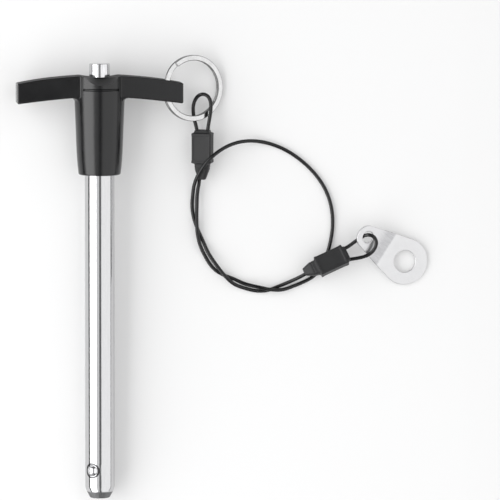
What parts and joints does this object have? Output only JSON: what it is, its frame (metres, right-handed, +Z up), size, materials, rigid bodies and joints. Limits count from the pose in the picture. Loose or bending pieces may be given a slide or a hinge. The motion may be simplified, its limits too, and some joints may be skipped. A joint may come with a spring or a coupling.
{
  "type": "ball lock pin",
  "caption": "Quick-release ball lock pin with a T handle, a push button, a split ring and a coated wire lanyard that ends in a sheet metal anchor tab.",
  "frame": {"origin": "on the floor under the middle of the pin and ring's box, with the pin lying on its back", "axes": "+Y along the pin from its tip to its button, +X towards the arm with the split ring, +Z up"},
  "size_m": [0.1786, 0.19, 0.0215],
  "materials": {
    "handle_plastic": "satin black moulding",
    "shank_steel": "ground and lightly turned",
    "rod_steel": "ground",
    "button_steel": "polished",
    "spring_steel": "drawn wire",
    "ball_steel": "polished",
    "ring_steel": "bright nickel plate",
    "cable_jacket": "extruded black jacket",
    "ferrule_metal": "pressed",
    "cover_plastic": "satin black",
    "tab_steel": "bright rolled sheet"
  },
  "bodies": {
    "pin": {"t_handle": "handle_plastic", "shank": "shank_steel", "return_spring": "spring_steel"},
    "plunger": {"plunger_rod": "rod_steel", "button": "button_steel"},
    "ball_upper": {"lock_ball_upper": "ball_steel"},
    "ball_lower": {"lock_ball_lower": "ball_steel"},
    "ring": {"split_ring": "ring_steel"},
    "lanyard": {"lanyard_cable": "cable_jacket", "crimp_ferrule_upper": "ferrule_metal", "sleeve_cover_upper": "cover_plastic", "crimp_ferrule_lower": "ferrule_metal", "sleeve_cover_lower": "cover_plastic"},
    "tab": {"anchor_tab": "tab_steel"}
  },
  "joints": [
    {"name": "button_press", "type": "slide", "parent": "pin", "child": "plunger", "axis": [0, -0.9997, -0.026], "range_m": [0, 0.0038], "stiffness_N_per_m": 1000, "springref_m": -0.004, "deforming": ["return_spring"]},
    {"name": "ball_upper_retract", "type": "slide", "parent": "pin", "child": "ball_upper", "axis": [0.6031, 0.0207, -0.7974], "range_m": [0, 0.0013]},
    {"name": "ball_lower_retract", "type": "slide", "parent": "pin", "child": "ball_lower", "axis": [-0.6031, -0.0207, 0.7974], "range_m": [0, 0.0013]},
    {"name": "ring_swing", "type": "hinge", "parent": "pin", "child": "ring", "pos_m": [0.0194, 0.08071, 0.01079], "axis": [0, -0.9997, -0.026], "range_deg": [-100, 90]},
    {"name": "lanyard_swing", "type": "hinge", "parent": "ring", "child": "lanyard", "pos_m": [0.03533, 0.06863, 0.00419], "axis": [-0.8748, -0.3509, 0.3339], "range_deg": [-15, 90]},
    {"name": "tab_swivel", "type": "hinge", "parent": "lanyard", "child": "tab", "pos_m": [0.10682, 0.01617, 0.00735], "axis": [0.3142, -0.204, 0.9272], "range_deg": [-5, 120]}
  ],
  "couplings": [
    {"joint": "ball_upper_retract", "follows": "button_press", "ratio": 0.34},
    {"joint": "ball_lower_retract", "follows": "button_press", "ratio": 0.34}
  ]
}
